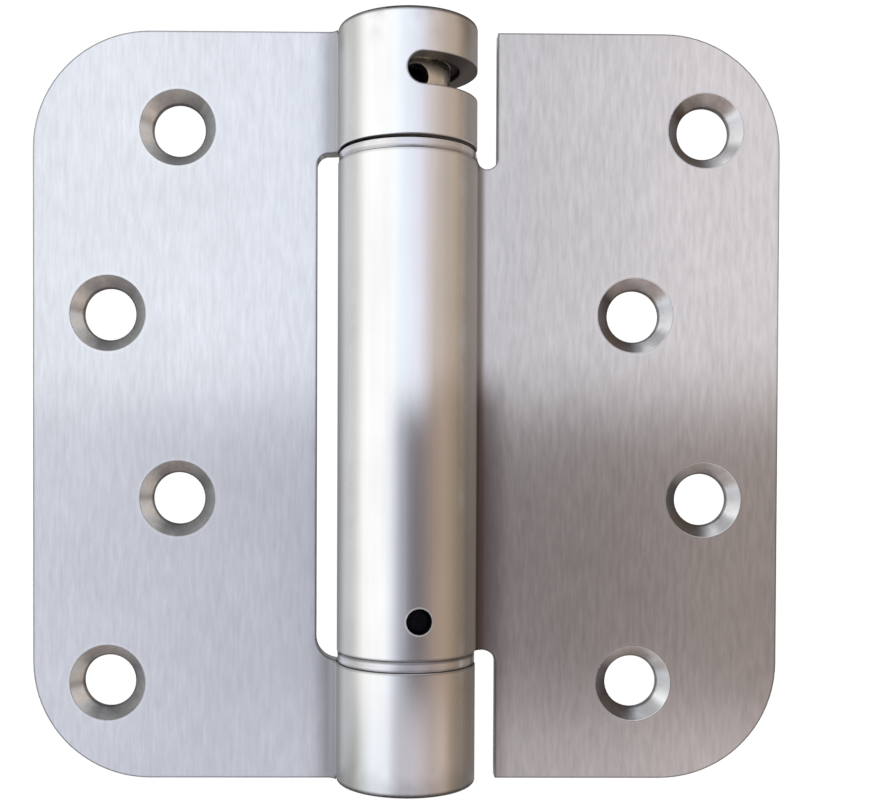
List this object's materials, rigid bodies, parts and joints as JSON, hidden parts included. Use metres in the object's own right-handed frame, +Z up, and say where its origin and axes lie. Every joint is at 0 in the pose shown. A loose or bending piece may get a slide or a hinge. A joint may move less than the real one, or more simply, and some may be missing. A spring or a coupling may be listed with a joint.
{
  "type": "spring loaded door hinge",
  "caption": "Full-mortise spring hinge, open flat: two leaves with rounded corners and countersunk holes on a barrel that holds a torsion spring and a slotted tension plug.",
  "frame": {"origin": "on the hinge axis at half the height of the leaves, which is the centre of the bounding box", "axes": "+Z up along the hinge axis, +X towards the door leaf, +Y out of the backs of the open leaves; the countersunk faces look to -Y"},
  "size_m": [0.1016, 0.0188, 0.1016],
  "materials": {
    "leaf_steel": "satin nickel, brushed along the axis",
    "plug_steel": "turned, plated",
    "black_pin": "black oxide",
    "spring_steel": "drawn wire, oiled",
    "washer_steel": "tumbled"
  },
  "bodies": {
    "frame_leaf": {"frame_leaf": "leaf_steel", "bottom_washer": "washer_steel"},
    "door_leaf": {"door_leaf": "leaf_steel", "top_washer": "washer_steel", "anchor_plug": "plug_steel", "anchor_pin": "black_pin", "torsion_spring": "spring_steel"},
    "tension_plug": {"tension_plug": "plug_steel"}
  },
  "joints": [
    {"name": "door_swing", "type": "hinge", "parent": "frame_leaf", "child": "door_leaf", "pos_m": [0, 0, 0], "axis": [0, 0, 1], "range_deg": [-180, 148]},
    {"name": "spring_wind", "type": "hinge", "parent": "door_leaf", "child": "tension_plug", "pos_m": [0, 0, 0], "axis": [0, 0, 1], "range_deg": [-360, 0], "stiffness_Nm_per_rad": 0.36, "deforming": ["torsion_spring"]}
  ]
}
